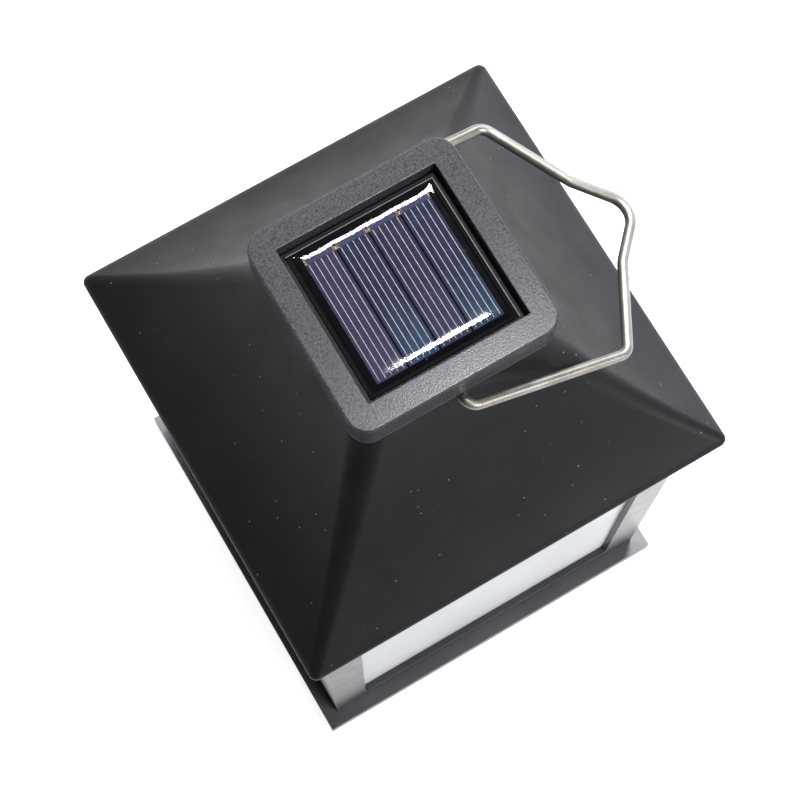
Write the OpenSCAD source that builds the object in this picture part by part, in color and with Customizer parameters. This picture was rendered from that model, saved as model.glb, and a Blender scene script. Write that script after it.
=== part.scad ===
// Square table lantern with a flared hipped roof, frosted panels, a lift-off solar unit
// in the roof's collar and a folding wire handle.
// Z is up, the ground is z = 0 and the lantern's axis is x = y = 0.

/* [Base] */
// Width of the square base plate
base_w = 136; // [134:1:140]
// Thickness of the base plate
base_h = 6; // [5.5:0.5:8]
// Width of the rim that the base plate stands on
rim_w = 2.5; // [2:0.5:4]

/* [Body] */
// Width of the square body across its posts
body_w = 126; // [124:1:128]
// Height of the posts, rails included
post_h = 148; // [100:1:200]
// Width of a corner post
post_w = 12; // [11.5:0.5:13]
// Height of the bottom rail
rail_h = 8; // [7:0.5:14]
// Height of the top ring that closes the body
ring_h = 8; // [8:0.5:10]
// Thickness of a frosted panel
panel_t = 1.5; // [1:0.1:1.6]
// Depth of a panel's face behind the posts
panel_inset = 2.3; // [2:0.1:3]

/* [Roof] */
// Width of the roof across its eaves
eave_w = 140; // [139:1:144]
// Height of the roof from the eave to the ledge below the collar
roof_rise = 50.5; // [48:0.5:53]
// How far the middle of the slope dips below a straight line
roof_dip = 3; // [1:0.5:4]
// Wall thickness of the roof
roof_wall = 2; // [1.6:0.1:2.2]
// Height of the upright lip at the eave
eave_lip = 2; // [1.5:0.5:3]
// Corner radius of the roof at the eave
eave_r = 2.5; // [1.5:0.5:4]
// Corner radius of the roof at the ledge
hip_r = 8; // [5:0.5:9]

/* [Collar and handle] */
// Width of the square collar that holds the handle and the solar unit
collar_w = 56; // [55.5:0.5:57]
// Height of the collar above the ledge
collar_h = 5.5; // [5.2:0.1:6.5]
// Diameter of the handle's wire
wire_d = 3.2; // [2.5:0.1:3.2]
// Distance from the pivot to the handle's shoulder bends
shoulder_reach = 53.5; // [50:0.5:56]
// Half of the handle's width at the shoulder bends
shoulder_half = 39.2; // [38.5:0.1:41]
// Distance from the pivot to the bends where the handle draws in to its peak
neck_reach = 69.5; // [68:0.5:72]
// Half of the handle's width at those bends
neck_half = 14.2; // [13:0.1:16]
// Angle of the folded handle below level
rest_tilt = 22; // [15:1:22]

/* [Solar unit] */
// Width of the square bezel
bezel_w = 62.6; // [61:0.1:63]
// Height of the bezel with the tray's flange
bezel_h = 12; // [11.5:0.5:14]
// Corner radius of the bezel
bezel_r = 6; // [5:0.5:6.5]
// Width of the square window in the bezel
window_w = 48.4; // [47.5:0.1:48.5]
// Width of the solar panel
panel_w = 45; // [44:0.5:46]
// Depth of the tray below the bezel
tray_depth = 19; // [18.5:0.5:24]

/* [Switch] */
// Travel of the slide switch
switch_travel = 2; // [1.5:0.1:2.5]

/* [Hidden] */
$fn = 48;

eps = 0.1;

// Levels, from the ground up.
frame_z = base_h;
ring_z = frame_z + post_h;
ring_top = ring_z + ring_h;
eave_z = ring_top - 1;
ledge_z = eave_z + roof_rise;
collar_top = ledge_z + collar_h;
flange_t = 2.4;
cover_z = collar_top + flange_t;
bezel_top = collar_top + bezel_h;

// Plan positions.
body_half = body_w / 2;
post_mid = body_half - post_w / 2;
groove_in = 3.3;
groove_half = body_half - post_w + groove_in;
panel_half = groove_half - 0.3;
panel_face = body_half - panel_inset;
fit = 0.1;
pad_mid = 46;
pad_half = 5.5;
pad_t = 4;

// Screws.
shank_r = 1.2;
hole_r = 1.25;
head_r = 2.6;
head_h = 1.6;
slot_w = 0.8;

// Roof: the slope is an arc that dips below the line from the eave to the ledge.
eave_half = eave_w / 2;
ledge_half = collar_w / 2 + 1;
chord_in = eave_half - ledge_half;
chord = norm([chord_in, roof_rise]);
arc_r = chord * chord / (8 * roof_dip) + roof_dip / 2;
arc_out = arc_r - roof_dip;
arc_x = (eave_half + ledge_half) / 2 + arc_out * roof_rise / chord;
arc_z = eave_z + roof_rise / 2 + arc_out * chord_in / chord;
roof_steps = 12;
hip_steps = 5;
collar_wall = 2;
collar_in = collar_w / 2 - collar_wall;
collar_r = 5;
pad_in = collar_in - 1.7;
pad_w = 9;

// Handle.
wire_r = wire_d / 2;
pivot_z = ledge_z + collar_h / 2;
toe_end = collar_in - 2.4;
toe_half = collar_w / 2 + 6.6;
peak_reach = neck_reach + neck_half * 1.04;

// Solar unit.
bezel_half = bezel_w / 2;
bezel_wall = 2;
window_half = window_w / 2;
boss_mid = bezel_half - 4.1;
boss_r = 2.2;
shelf_z = bezel_top - 5.5;
shelf_t = 1.5;
shelf_half = 20;
board_t = 1.6;
panel_top = shelf_z + board_t;
cell_count = 4;
cell_gap = 0.6;
cell_w = 9.1;
cell_l = 40;
cell_t = 0.3;
ribbon_t = 0.15;
ribbon_w = 2;
dome_edge = 0.7;
dome_rise = 1.1;
dome_round = 5;

// Tray and what it holds.
tray_x = collar_in - 0.8;
tray_y = collar_in - 3.5;
tray_wall = 1.5;
tray_z = collar_top - tray_depth;
floor_top = tray_z + tray_wall;
battery_r = 5.25;
battery_l = 44.5;
battery_y = 11;
battery_z = floor_top + battery_r + 1;
rest_h = 1;
contact_half = 4;
lead_r = 0.6;
door_half = 20;
door_w = 12;
door_fit = 0.25;
post_up = 4;
circuit_z = floor_top + post_up;
circuit_t = 1.6;
circuit_y = -12;
circuit_half = 20;
circuit_w = 14;
circuit_screw_x = 17.6;
led_r = 2.5;
led_l = 8.6;
switch_x = 9;
knob_w = 2;

// ---------------------------------------------------------------- shared shapes

// A square with round corners, as a flat shape.
module round_square(half, r) {
    square([2 * (half - r), 2 * half], center = true);
    square([2 * half, 2 * (half - r)], center = true);
    for (x = [-1, 1], y = [-1, 1])
        translate([x * (half - r), y * (half - r)]) circle(r = r);
}

// A square plate with round corners between two levels.
module round_plate(half, r, low, high) {
    translate([0, 0, low]) linear_extrude(high - low) round_square(half, r);
}

// A square plate with sharp corners between two levels.
module plate(half, low, high) {
    translate([-half, -half, low]) cube([2 * half, 2 * half, high - low]);
}

// Copies of a shape at the four corners of a square.
module at_corners(mid) {
    for (x = [-1, 1], y = [-1, 1]) translate([x * mid, y * mid, 0]) children();
}

// Copies of a shape on the four sides of the lantern.
module on_sides() {
    for (turn = [0:90:270]) rotate([0, 0, turn]) children();
}

// A pan-head screw with a cross slot: the head's underside is at z = 0 and it points to +Z.
module pan_screw(length) {
    cylinder(h = length, r = shank_r);
    difference() {
        translate([0, 0, -head_h]) cylinder(h = head_h, r = head_r);
        for (turn = [0, 90])
            rotate([0, 0, turn])
                translate([-head_r * 0.6, -slot_w / 2, -head_h - eps])
                    cube([head_r * 1.2, slot_w, head_h * 0.6 + eps]);
    }
}

// A round tube of small radius along a list of points.
module swept_tube(path, r, sides) {
    last = len(path) - 1;
    directions = [for (i = [0:last])
        let (d = path[min(i + 1, last)] - path[max(i - 1, 0)]) d / norm(d)];
    points = [for (i = [0:last]) let (
            d = directions[i],
            side = cross(d, abs(d[0]) < 0.9 ? [1, 0, 0] : [0, 1, 0]),
            a = side / norm(side),
            b = cross(d, a)
        ) for (k = [0:sides - 1])
            path[i] + r * (cos(360 * k / sides) * a + sin(360 * k / sides) * b)];
    skin = [for (i = [0:last - 1], k = [0:sides - 1]) let (
            p = i * sides + k,
            q = i * sides + (k + 1) % sides
        ) each [[p, p + sides, q], [q, p + sides, q + sides]]];
    polyhedron(points, concat(
        skin,
        [[for (k = [0:sides - 1]) k]],
        [[for (k = [sides - 1:-1:0]) last * sides + k]]
    ));
}

// ---------------------------------------------------------------- base

// Seat of a base screw's head, above the ground.
screw_seat = 2;

module base_plate() {
    floor_t = 2.5;
    tongue_half = body_half - post_w - 0.3;
    column_r = 4.5;
    rib_t = 2;
    color([0.13, 0.13, 0.14]) difference() {
        union() {
            plate(base_w / 2, 0, frame_z);
            difference() {
                plate(tongue_half, frame_z - eps, frame_z + 3);
                plate(tongue_half - 1.7, frame_z - 1, frame_z + 4);
            }
        }
        difference() {
            plate(base_w / 2 - rim_w, -1, frame_z - floor_t);
            at_corners(post_mid) translate([0, 0, -2]) cylinder(h = base_h, r = column_r);
            for (turn = [45, 135])
                rotate([0, 0, turn])
                    translate([-post_mid * sqrt(2) + column_r - 1, -rib_t / 2, 1])
                        cube([2 * (post_mid * sqrt(2) - column_r + 1), rib_t, base_h]);
        }
        at_corners(post_mid) translate([0, 0, -1]) cylinder(h = base_h + 2, r = hole_r);
        at_corners(post_mid) translate([0, 0, -1]) cylinder(h = 1 + screw_seat, r = head_r + 0.3);
    }
}

module base_screws() {
    color([0.6, 0.6, 0.62]) at_corners(post_mid) translate([0, 0, screw_seat]) pan_screw(14);
}

// ---------------------------------------------------------------- body

// The slot that holds the edges of one panel, on the front side.
module panel_slot(low, high) {
    translate([-groove_half, -panel_face - fit, low])
        cube([2 * groove_half, panel_t + 2 * fit, high - low]);
}

module body_frame() {
    color([0.12, 0.12, 0.13]) difference() {
        plate(body_half, frame_z, ring_z);
        plate(body_half - post_w, frame_z - 1, ring_z + 1);
        on_sides()
            translate([-body_half + post_w, -body_half - 1, frame_z + rail_h])
                cube([body_w - 2 * post_w, post_w + 2, post_h]);
        on_sides() panel_slot(frame_z + rail_h - 3, ring_z + 1);
        at_corners(post_mid) translate([0, 0, frame_z - 1]) cylinder(h = 13, r = hole_r);
        at_corners(post_mid) translate([0, 0, ring_z - 12]) cylinder(h = 13, r = hole_r);
    }
}

// One frosted panel on the side that the given turn selects.
module frosted_panel(turn) {
    low = frame_z + rail_h - 2.8;
    high = ring_z + 2.8;
    color([0.93, 0.95, 0.96, 0.85]) rotate([0, 0, turn])
        translate([-panel_half, -panel_face, low])
            cube([2 * panel_half, panel_t, high - low]);
}

module panel_front() { frosted_panel(0); }
module panel_right() { frosted_panel(90); }
module panel_back() { frosted_panel(180); }
module panel_left() { frosted_panel(270); }

module top_ring() {
    color([0.12, 0.12, 0.13]) difference() {
        union() {
            difference() {
                plate(body_half, ring_z, ring_top);
                plate(body_half - post_w, ring_z - 1, ring_top + 1);
            }
            at_corners(pad_mid)
                translate([0, 0, ring_top - pad_t / 2])
                    cube([2 * pad_half, 2 * pad_half, pad_t], center = true);
        }
        on_sides() panel_slot(ring_z - 1, ring_z + 3);
        at_corners(pad_mid) translate([0, 0, ring_z]) cylinder(h = ring_h + 1, r = hole_r);
        at_corners(post_mid) translate([0, 0, ring_z - 1]) cylinder(h = ring_h + 2, r = hole_r);
    }
}

module ring_screws() {
    color([0.6, 0.6, 0.62])
        at_corners(post_mid) translate([0, 0, ring_top]) mirror([0, 0, 1]) pan_screw(ring_h + 10);
}

// ---------------------------------------------------------------- roof

// Height of the slope at a distance from the axis, moved down square to itself.
function slope_z(half, down) =
    arc_z - sqrt((arc_r + down) * (arc_r + down) - (arc_x - half) * (arc_x - half));

// Distance of the slope from the axis at a height, moved down square to itself.
function slope_half(z, down) =
    arc_x - sqrt((arc_r + down) * (arc_r + down) - (arc_z - z) * (arc_z - z));

// Corner radius of the roof at a distance from the axis.
function corner_r(half) = eave_r + (hip_r - eave_r) * (eave_half - half) / chord_in;

// One level outline of the roof: a square with round corners.
function roof_ring(half, r, z) = [for (k = [0:3], i = [0:hip_steps]) let (
        a = 90 * (k + i / hip_steps),
        x = sign(cos(90 * k + 45)),
        y = sign(sin(90 * k + 45))
    ) [x * (half - r) + r * cos(a), y * (half - r) + r * sin(a), z]];

// A closed solid through a stack of level outlines.
module ring_stack(rings) {
    n = len(rings[0]);
    last = len(rings) - 1;
    skin = [for (i = [0:last - 1], k = [0:n - 1]) let (
            p = i * n + k,
            q = i * n + (k + 1) % n
        ) each [[p, p + n, q], [q, p + n, q + n]]];
    polyhedron([for (ring = rings) each ring], concat(
        skin,
        [[for (k = [0:n - 1]) k]],
        [[for (k = [n - 1:-1:0]) last * n + k]]
    ));
}

module roof_outside() {
    ring_stack(concat(
        [roof_ring(eave_half, eave_r, eave_z - eave_lip)],
        [for (i = [0:roof_steps]) let (half = eave_half - chord_in * i / roof_steps)
            roof_ring(half, corner_r(half), i == roof_steps ? ledge_z : slope_z(half, 0))]
    ));
}

module roof_inside() {
    low_half = eave_half - roof_wall;
    top_z = ledge_z - roof_wall;
    top_half = slope_half(top_z, roof_wall);
    inner_r = 0.6;
    ring_stack(concat(
        [roof_ring(low_half, eave_r - inner_r, eave_z - eave_lip - 1)],
        [for (i = [0:roof_steps]) let (half = low_half - (low_half - top_half) * i / roof_steps)
            roof_ring(half, corner_r(half) - inner_r, i == roof_steps ? top_z : slope_z(half, roof_wall))]
    ));
}

module collar() {
    pad_low = ledge_z - 0.5;
    difference() {
        round_plate(collar_w / 2, collar_r, pad_low, collar_top);
        round_plate(collar_in, collar_r - collar_wall, pad_low - 1, collar_top + 1);
    }
    for (side = [-1, 1])
        translate([-pad_w / 2, side > 0 ? pad_in : -collar_in - eps, pad_low])
            cube([pad_w, collar_in - pad_in + eps, collar_top - pad_low]);
}

module roof() {
    color([0.1, 0.1, 0.11]) difference() {
        union() {
            difference() {
                roof_outside();
                difference() {
                    roof_inside();
                    at_corners(pad_mid) translate([0, 0, ring_top]) cylinder(h = roof_rise, r = 3.5);
                }
                plate(collar_in, ledge_z - roof_wall - 1, ledge_z + 1);
            }
            collar();
        }
        at_corners(pad_mid) translate([0, 0, ring_top - 1]) cylinder(h = 13, r = hole_r);
        translate([0, -collar_w / 2 - 1, pivot_z]) rotate([-90, 0, 0])
            cylinder(h = collar_w + 2, r = wire_r + fit);
    }
}

module roof_screws() {
    color([0.6, 0.6, 0.62])
        at_corners(pad_mid) translate([0, 0, ring_top - pad_t]) pan_screw(pad_t + 10);
}

// ---------------------------------------------------------------- handle

// Heading of the line from one point to the next.
function heading(a, b) = atan2(b[1] - a[1], b[0] - a[0]);

// How far a path turns at point i, left being positive.
function turn_at(path, i) =
    let (t = heading(path[i], path[i + 1]) - heading(path[i - 1], path[i]))
        t > 180 ? t - 360 : t < -180 ? t + 360 : t;

// Length that a bend takes off each line that meets at point i.
function bend_cut(path, radii, i) =
    i == 0 || i == len(path) - 1 ? 0 : radii[i] * tan(abs(turn_at(path, i)) / 2);

// A bent wire in the XY plane: straight lines with a round bend at each inner point. The lines
// and bends stop a little short of each other, and a ball just thicker than the wire joins them.
module bent_wire(path, radii, r) {
    last = len(path) - 1;
    short = 0.05;
    ball_r = r + 0.02;
    for (i = [0:last - 1]) {
        along = heading(path[i], path[i + 1]);
        cut = bend_cut(path, radii, i);
        from = i == 0 ? 0 : cut + short;
        to = norm(path[i + 1] - path[i]) - bend_cut(path, radii, i + 1) - (i == last - 1 ? 0 : short);
        translate([path[i][0], path[i][1], 0]) rotate([0, 0, along]) {
            translate([from, 0, 0]) rotate([0, 90, 0]) cylinder(h = to - from, r = r);
            if (i > 0) translate([cut, 0, 0]) sphere(r = ball_r);
            if (i < last - 1) translate([to + short, 0, 0]) sphere(r = ball_r);
        }
    }
    for (i = [1:last - 1]) {
        turn = turn_at(path, i);
        along = heading(path[i - 1], path[i]);
        side = turn > 0 ? 1 : -1;
        trim = short / radii[i] * 180 / PI;
        translate([path[i][0], path[i][1], 0]) rotate([0, 0, along])
            translate([-bend_cut(path, radii, i), side * radii[i], 0])
                rotate([0, 0, (turn > 0 ? -90 : 90 + turn) + trim])
                    rotate_extrude(angle = abs(turn) - 2 * trim) translate([radii[i], 0]) circle(r = r);
    }
}

module wire_handle() {
    half_path = [[0, toe_end], [0, toe_half], [shoulder_reach, shoulder_half],
                 [neck_reach, neck_half]];
    half_radii = [0, 4, 4.5, 11];
    path = concat(
        half_path,
        [[peak_reach, 0]],
        [for (i = [3:-1:0]) [half_path[i][0], -half_path[i][1]]]
    );
    radii = concat(half_radii, [7], [for (i = [3:-1:0]) half_radii[i]]);
    color([0.78, 0.77, 0.74]) translate([0, 0, pivot_z]) rotate([0, rest_tilt, 0])
        bent_wire(path, radii, wire_r);
}

// ---------------------------------------------------------------- solar unit

module bezel_cover() {
    edge = 0.8;
    color([0.2, 0.2, 0.21]) difference() {
        union() {
            round_plate(bezel_half, bezel_r, cover_z, bezel_top - edge);
            round_plate(bezel_half - edge / 2, bezel_r - edge / 2, bezel_top - edge - eps, bezel_top - edge / 2);
            round_plate(bezel_half - edge, bezel_r - edge, bezel_top - edge / 2 - eps, bezel_top);
        }
        difference() {
            round_plate(bezel_half - bezel_wall, bezel_r - bezel_wall, cover_z - 1, bezel_top - 2);
            plate(window_half + 1.5, shelf_z - shelf_t, bezel_top);
            at_corners(boss_mid) translate([0, 0, cover_z]) cylinder(h = bezel_h, r = boss_r);
        }
        plate(window_half, shelf_z, bezel_top + 1);
        plate(shelf_half, cover_z, bezel_top + 1);
        at_corners(boss_mid) translate([0, 0, cover_z - 1]) cylinder(h = 7, r = 0.95);
    }
}

module housing_tray() {
    flange_half = bezel_half - 0.3;
    color([0.13, 0.13, 0.14]) difference() {
        union() {
            round_plate(flange_half, bezel_r - 0.3, collar_top, cover_z);
            translate([-tray_x, -tray_y, tray_z]) cube([2 * tray_x, 2 * tray_y, tray_depth + eps]);
            for (x = [-1, 1])
                translate([x * tray_x, 0, ledge_z - 6]) cube([1.3, 12, 3], center = true);
        }
        difference() {
            translate([-tray_x + tray_wall, -tray_y + tray_wall, floor_top])
                cube([2 * (tray_x - tray_wall), 2 * (tray_y - tray_wall), tray_depth + 5]);
            for (x = [-1, 1])
                translate([x * circuit_screw_x, circuit_y, floor_top - eps])
                    cylinder(h = post_up + eps, r = 2.2);
            for (x = [-door_half, door_half - tray_wall])
                translate([x, battery_y - battery_r, floor_top - eps])
                    cube([tray_wall, 2 * battery_r, rest_h]);
        }
        for (x = [-1, 1])
            translate([x * circuit_screw_x, circuit_y, floor_top + 0.5]) cylinder(h = post_up, r = 0.95);
        translate([-door_half + 2, battery_y - door_w / 2, tray_z - 1])
            cube([2 * door_half - 4, door_w, tray_wall + 2]);
        translate([0, circuit_y, tray_z - 1]) cylinder(h = 4, r = led_r + 0.5);
        translate([switch_x - knob_w / 2 - 0.4, circuit_y - knob_w / 2 - 0.4, tray_z - 1])
            cube([knob_w + switch_travel + 0.8, knob_w + 0.8, 4]);
        at_corners(boss_mid) translate([0, 0, collar_top - eps])
            cylinder(h = flange_t + 2 * eps, r = 1.05);
        at_corners(boss_mid) translate([0, 0, collar_top - eps]) cylinder(h = 1.3, r1 = 2.15, r2 = 1.05);
    }
}

// Countersunk screws that hold the bezel on the tray.
module bezel_screws() {
    color([0.6, 0.6, 0.62]) at_corners(boss_mid) translate([0, 0, collar_top + 0.05]) difference() {
        union() {
            cylinder(h = 1.1, r1 = 1.95, r2 = 0.9);
            cylinder(h = 7.5, r = 0.9);
        }
        translate([-1.2, -0.25, -eps]) cube([2.4, 0.5, 0.6]);
        translate([-0.25, -1.2, -eps]) cube([0.5, 2.4, 0.6]);
    }
}

// The bead of black sealant between the panel's edge and the window's wall.
module panel_sealant() {
    color([0.05, 0.05, 0.05]) difference() {
        plate(window_half, shelf_z, shelf_z + 0.9);
        plate(panel_w / 2, shelf_z - 1, shelf_z + 2);
    }
}

module panel_board() {
    color([0.75, 0.75, 0.72]) plate(panel_w / 2, shelf_z, panel_top);
}

// Left edge of a cell, counted from 0.
function cell_x(i) = (i - cell_count / 2) * (cell_w + cell_gap) + cell_gap / 2;

module solar_cell(i) {
    color([0.12, 0.12, 0.3])
        translate([cell_x(i), -cell_l / 2, panel_top]) cube([cell_w, cell_l, cell_t]);
}

module solar_cell_1() { solar_cell(0); }
module solar_cell_2() { solar_cell(1); }
module solar_cell_3() { solar_cell(2); }
module solar_cell_4() { solar_cell(3); }

// Flat copper ribbons: one along the far end of each cell, and a link from cell to cell.
module cell_ribbons() {
    top = panel_top + cell_t;
    color([0.8, 0.6, 0.4]) for (i = [0:cell_count - 1]) {
        translate([cell_x(i), cell_l / 2 - ribbon_w - 0.5, top]) cube([cell_w, ribbon_w, ribbon_t]);
        if (i < cell_count - 1)
            translate([cell_x(i) + cell_w - eps, cell_l / 2 - ribbon_w - 0.5, top])
                cube([cell_gap + 2 * eps, ribbon_w / 2, ribbon_t]);
    }
}

module resin_dome() {
    half = panel_w / 2;
    steps = 8;
    color([0.85, 0.9, 0.95, 0.35]) difference() {
        ring_stack(concat(
            [roof_ring(half, 1, panel_top)],
            [for (i = [0:steps]) let (t = i / steps)
                roof_ring(half - dome_round * (1 - cos(90 * t)), 1, panel_top + dome_edge + dome_rise * sin(90 * t))]
        ));
        for (i = [0:cell_count - 1])
            translate([cell_x(i), -cell_l / 2, panel_top - 1]) cube([cell_w, cell_l, 1 + cell_t]);
        translate([cell_x(0), cell_l / 2 - ribbon_w - 0.5, panel_top + cell_t - eps])
            cube([cell_x(cell_count - 1) - cell_x(0) + cell_w, ribbon_w, ribbon_t + eps]);
    }
}

// ---------------------------------------------------------------- inside the tray

// A soft lead from one point to another that leaves and arrives upright and rises in between.
function lead_path(a, b, rise) = [for (i = [0:12]) let (
        t = min(max((i - 1) / 10, 0), 1),
        s = t * t * (3 - 2 * t)
    ) [a[0] + (b[0] - a[0]) * s,
       a[1] + (b[1] - a[1]) * s,
       a[2] + (b[2] - a[2]) * i / 12 + rise * sin(15 * i)]];

// A red and a black lead, the same on both sides.
module lead_pair(from, to, rise) {
    for (side = [-1, 1])
        color(side < 0 ? [0.1, 0.1, 0.1] : [0.7, 0.08, 0.06])
            swept_tube(lead_path([side * from[0], from[1], from[2]], [side * to[0], to[1], to[2]], rise),
                       lead_r, 10);
}

module panel_leads() {
    lead_pair([6, 2, shelf_z], [4, circuit_y + 5, circuit_z + circuit_t], 0);
}

module circuit_board() {
    color([0.05, 0.35, 0.15]) difference() {
        translate([-circuit_half, circuit_y - circuit_w / 2, circuit_z])
            cube([2 * circuit_half, circuit_w, circuit_t]);
        for (x = [-1, 1])
            translate([x * circuit_screw_x, circuit_y, circuit_z - 1]) cylinder(h = 4, r = 1.05);
    }
}

module board_screws() {
    color([0.6, 0.6, 0.62]) for (x = [-1, 1])
        translate([x * circuit_screw_x, circuit_y, circuit_z + circuit_t - 4.5]) {
            cylinder(h = 4.5, r = 0.9);
            translate([0, 0, 4.5]) difference() {
                cylinder(h = 1.2, r = 1.9);
                translate([-1.1, -0.25, 0.7]) cube([2.2, 0.5, 1]);
            }
        }
}

module driver_chip() {
    color([0.07, 0.07, 0.07]) translate([-12, circuit_y, circuit_z + circuit_t]) {
        translate([-2.5, -2, 0]) cube([5, 4, 1.6]);
        for (x = [-1.9:1.27:1.91], y = [-1, 1])
            translate([x - 0.2, y * 2.6 - 0.7, 0]) cube([0.4, 1.4, 0.3]);
    }
}

module inductor() {
    color([0.2, 0.2, 0.22]) translate([10, circuit_y, circuit_z + circuit_t]) {
        cylinder(h = 0.8, r = 3);
        cylinder(h = 4.2, r = 1.8);
        translate([0, 0, 0.8]) cylinder(h = 2.6, r = 2.6);
        translate([0, 0, 3.4]) cylinder(h = 0.8, r = 3);
    }
}

module led_lamp() {
    color([0.97, 0.95, 0.85, 0.6]) translate([0, circuit_y, circuit_z]) mirror([0, 0, 1]) {
        cylinder(h = 1, r = led_r + 0.4);
        cylinder(h = led_l - led_r, r = led_r);
        translate([0, 0, led_l - led_r]) sphere(r = led_r);
    }
}

module switch_body() {
    color([0.75, 0.75, 0.76]) difference() {
        translate([switch_x + switch_travel / 2 - 4.3, circuit_y - 2.2, circuit_z - 3.4])
            cube([8.6, 4.4, 3.4]);
        translate([switch_x - knob_w / 2 - 0.2, circuit_y - knob_w / 2 - 0.2, circuit_z - 4])
            cube([knob_w + switch_travel + 0.4, knob_w + 0.4, 3]);
    }
}

module switch_knob() {
    color([0.06, 0.06, 0.06])
        translate([switch_x - knob_w / 2, circuit_y - knob_w / 2, tray_z - 1])
            cube([knob_w, knob_w, circuit_z - 1.6 - tray_z + 1]);
}

module battery_cell() {
    nipple_l = 1;
    start = -battery_l / 2 + 0.8;
    color([0.2, 0.5, 0.3]) translate([start, battery_y, battery_z]) rotate([0, 90, 0]) {
        cylinder(h = battery_l - nipple_l, r = battery_r);
        translate([0, 0, battery_l - nipple_l]) cylinder(h = nipple_l, r = 1.9);
    }
}

module contact_spring() {
    wire = 0.3;
    turns = 2.5;
    steps = 60;
    low = -tray_x + tray_wall + 0.3;
    high = -battery_l / 2 + 0.8 - wire;
    path = [for (i = [0:steps]) let (t = i / steps, a = 360 * turns * t, r = 3.2 - 1.2 * t)
        [low + wire + (high - low - wire) * t, battery_y + r * cos(a), battery_z + r * sin(a)]];
    color([0.75, 0.75, 0.72]) {
        swept_tube(path, wire, 8);
        translate([low - 0.3, battery_y - contact_half, battery_z - contact_half])
            cube([0.4, 2 * contact_half, 2 * contact_half]);
    }
}

module contact_plate() {
    near = -battery_l / 2 + 0.8 + battery_l;
    color([0.75, 0.75, 0.72])
        translate([near, battery_y - contact_half, battery_z - contact_half])
            cube([tray_x - tray_wall - near, 2 * contact_half, 2 * contact_half]);
}

module battery_leads() {
    lead_pair([tray_x - tray_wall - lead_r - fit, battery_y - 3, battery_z + contact_half],
              [14, circuit_y + 5, circuit_z + circuit_t], 3);
}

module battery_door() {
    lip = 0.8;
    color([0.13, 0.13, 0.14]) {
        translate([-door_half + 2 + door_fit, battery_y - door_w / 2 + door_fit, tray_z])
            cube([2 * (door_half - 2 - door_fit), door_w - 2 * door_fit, tray_wall]);
        translate([-door_half - 1, battery_y - door_w / 2 - 1, tray_z - lip])
            cube([2 * door_half + 2, door_w + 2, lip]);
        for (i = [-2:2])
            translate([door_half - 6 + i * 1.4, battery_y - 4, tray_z - lip - 0.5])
                cube([0.7, 8, 0.6]);
    }
}

// ---------------------------------------------------------------- show

base_plate();
base_screws();
body_frame();
panel_front();
panel_right();
panel_back();
panel_left();
top_ring();
ring_screws();
roof();
roof_screws();
wire_handle();
bezel_cover();
housing_tray();
bezel_screws();
panel_sealant();
panel_board();
solar_cell_1();
solar_cell_2();
solar_cell_3();
solar_cell_4();
cell_ribbons();
resin_dome();
panel_leads();
circuit_board();
board_screws();
driver_chip();
inductor();
led_lamp();
switch_body();
switch_knob();
battery_cell();
contact_spring();
contact_plate();
battery_leads();
battery_door();
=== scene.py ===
"""Looks of the solar lantern: smooth pieces, materials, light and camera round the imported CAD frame."""

import math

import bmesh
import bpy
from mathutils import Matrix, Vector


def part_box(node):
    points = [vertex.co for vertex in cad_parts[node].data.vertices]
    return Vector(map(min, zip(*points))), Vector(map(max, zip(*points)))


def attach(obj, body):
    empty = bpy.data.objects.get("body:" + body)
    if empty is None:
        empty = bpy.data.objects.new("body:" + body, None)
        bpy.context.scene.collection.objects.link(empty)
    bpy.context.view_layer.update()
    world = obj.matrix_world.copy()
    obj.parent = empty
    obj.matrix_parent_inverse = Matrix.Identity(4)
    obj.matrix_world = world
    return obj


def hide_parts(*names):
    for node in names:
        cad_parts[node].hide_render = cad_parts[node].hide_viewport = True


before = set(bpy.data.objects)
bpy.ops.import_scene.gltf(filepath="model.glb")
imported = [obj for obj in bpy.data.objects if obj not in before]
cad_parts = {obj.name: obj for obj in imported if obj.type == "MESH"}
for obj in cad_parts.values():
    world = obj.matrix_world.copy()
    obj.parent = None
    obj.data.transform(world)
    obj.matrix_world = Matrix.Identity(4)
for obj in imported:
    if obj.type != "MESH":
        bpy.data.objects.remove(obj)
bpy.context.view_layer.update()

MM = 0.001

# Sizes that come from the frame, in metres.
ROOF_LOW, ROOF_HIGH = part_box("roof")
BEZEL_LOW, BEZEL_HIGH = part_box("bezel_cover")
BOARD_LOW, BOARD_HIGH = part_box("panel_board")
CELL_LOW, CELL_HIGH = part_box("solar_cell_1")
EAVE_HALF = ROOF_HIGH.x
COLLAR_TOP = ROOF_HIGH.z
RING_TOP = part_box("top_ring")[1].z
BEZEL_HALF = BEZEL_HIGH.x
BEZEL_TOP = BEZEL_HIGH.z
WINDOW_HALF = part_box("panel_sealant")[1].x
CELL_W = CELL_HIGH.x - CELL_LOW.x
CELL_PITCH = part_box("solar_cell_2")[0].x - CELL_LOW.x
SHELF_Z = BOARD_LOW.z
BOARD_TOP = BOARD_HIGH.z
BOARD_HALF = BOARD_HIGH.x

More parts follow.
